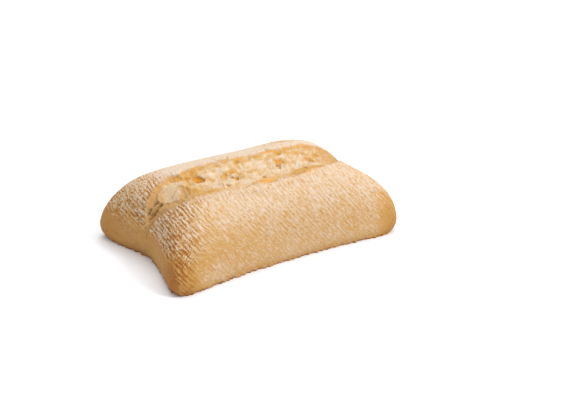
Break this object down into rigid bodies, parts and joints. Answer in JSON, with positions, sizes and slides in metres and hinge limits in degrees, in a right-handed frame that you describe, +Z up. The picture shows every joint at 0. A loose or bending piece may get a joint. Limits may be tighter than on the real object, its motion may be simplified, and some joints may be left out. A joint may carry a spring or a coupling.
{
  "type": "ciabatta roll",
  "caption": "Flat, floured ciabatta roll with drawn-out bottom corners, pulled-in ends and a torn split along its top.",
  "frame": {"origin": "middle of the flat base, under the middle of the roll's bounding box", "axes": "+X along the roll and its split, +Y across it towards the lobe behind the split, +Z up"},
  "size_m": [0.1554, 0.0976, 0.0474],
  "materials": {
    "crust": "dry, matt, flour-dusted baked crust, golden in the wrinkles and the split"
  },
  "bodies": {
    "root": {"ciabatta": "crust"}
  },
  "joints": []
}
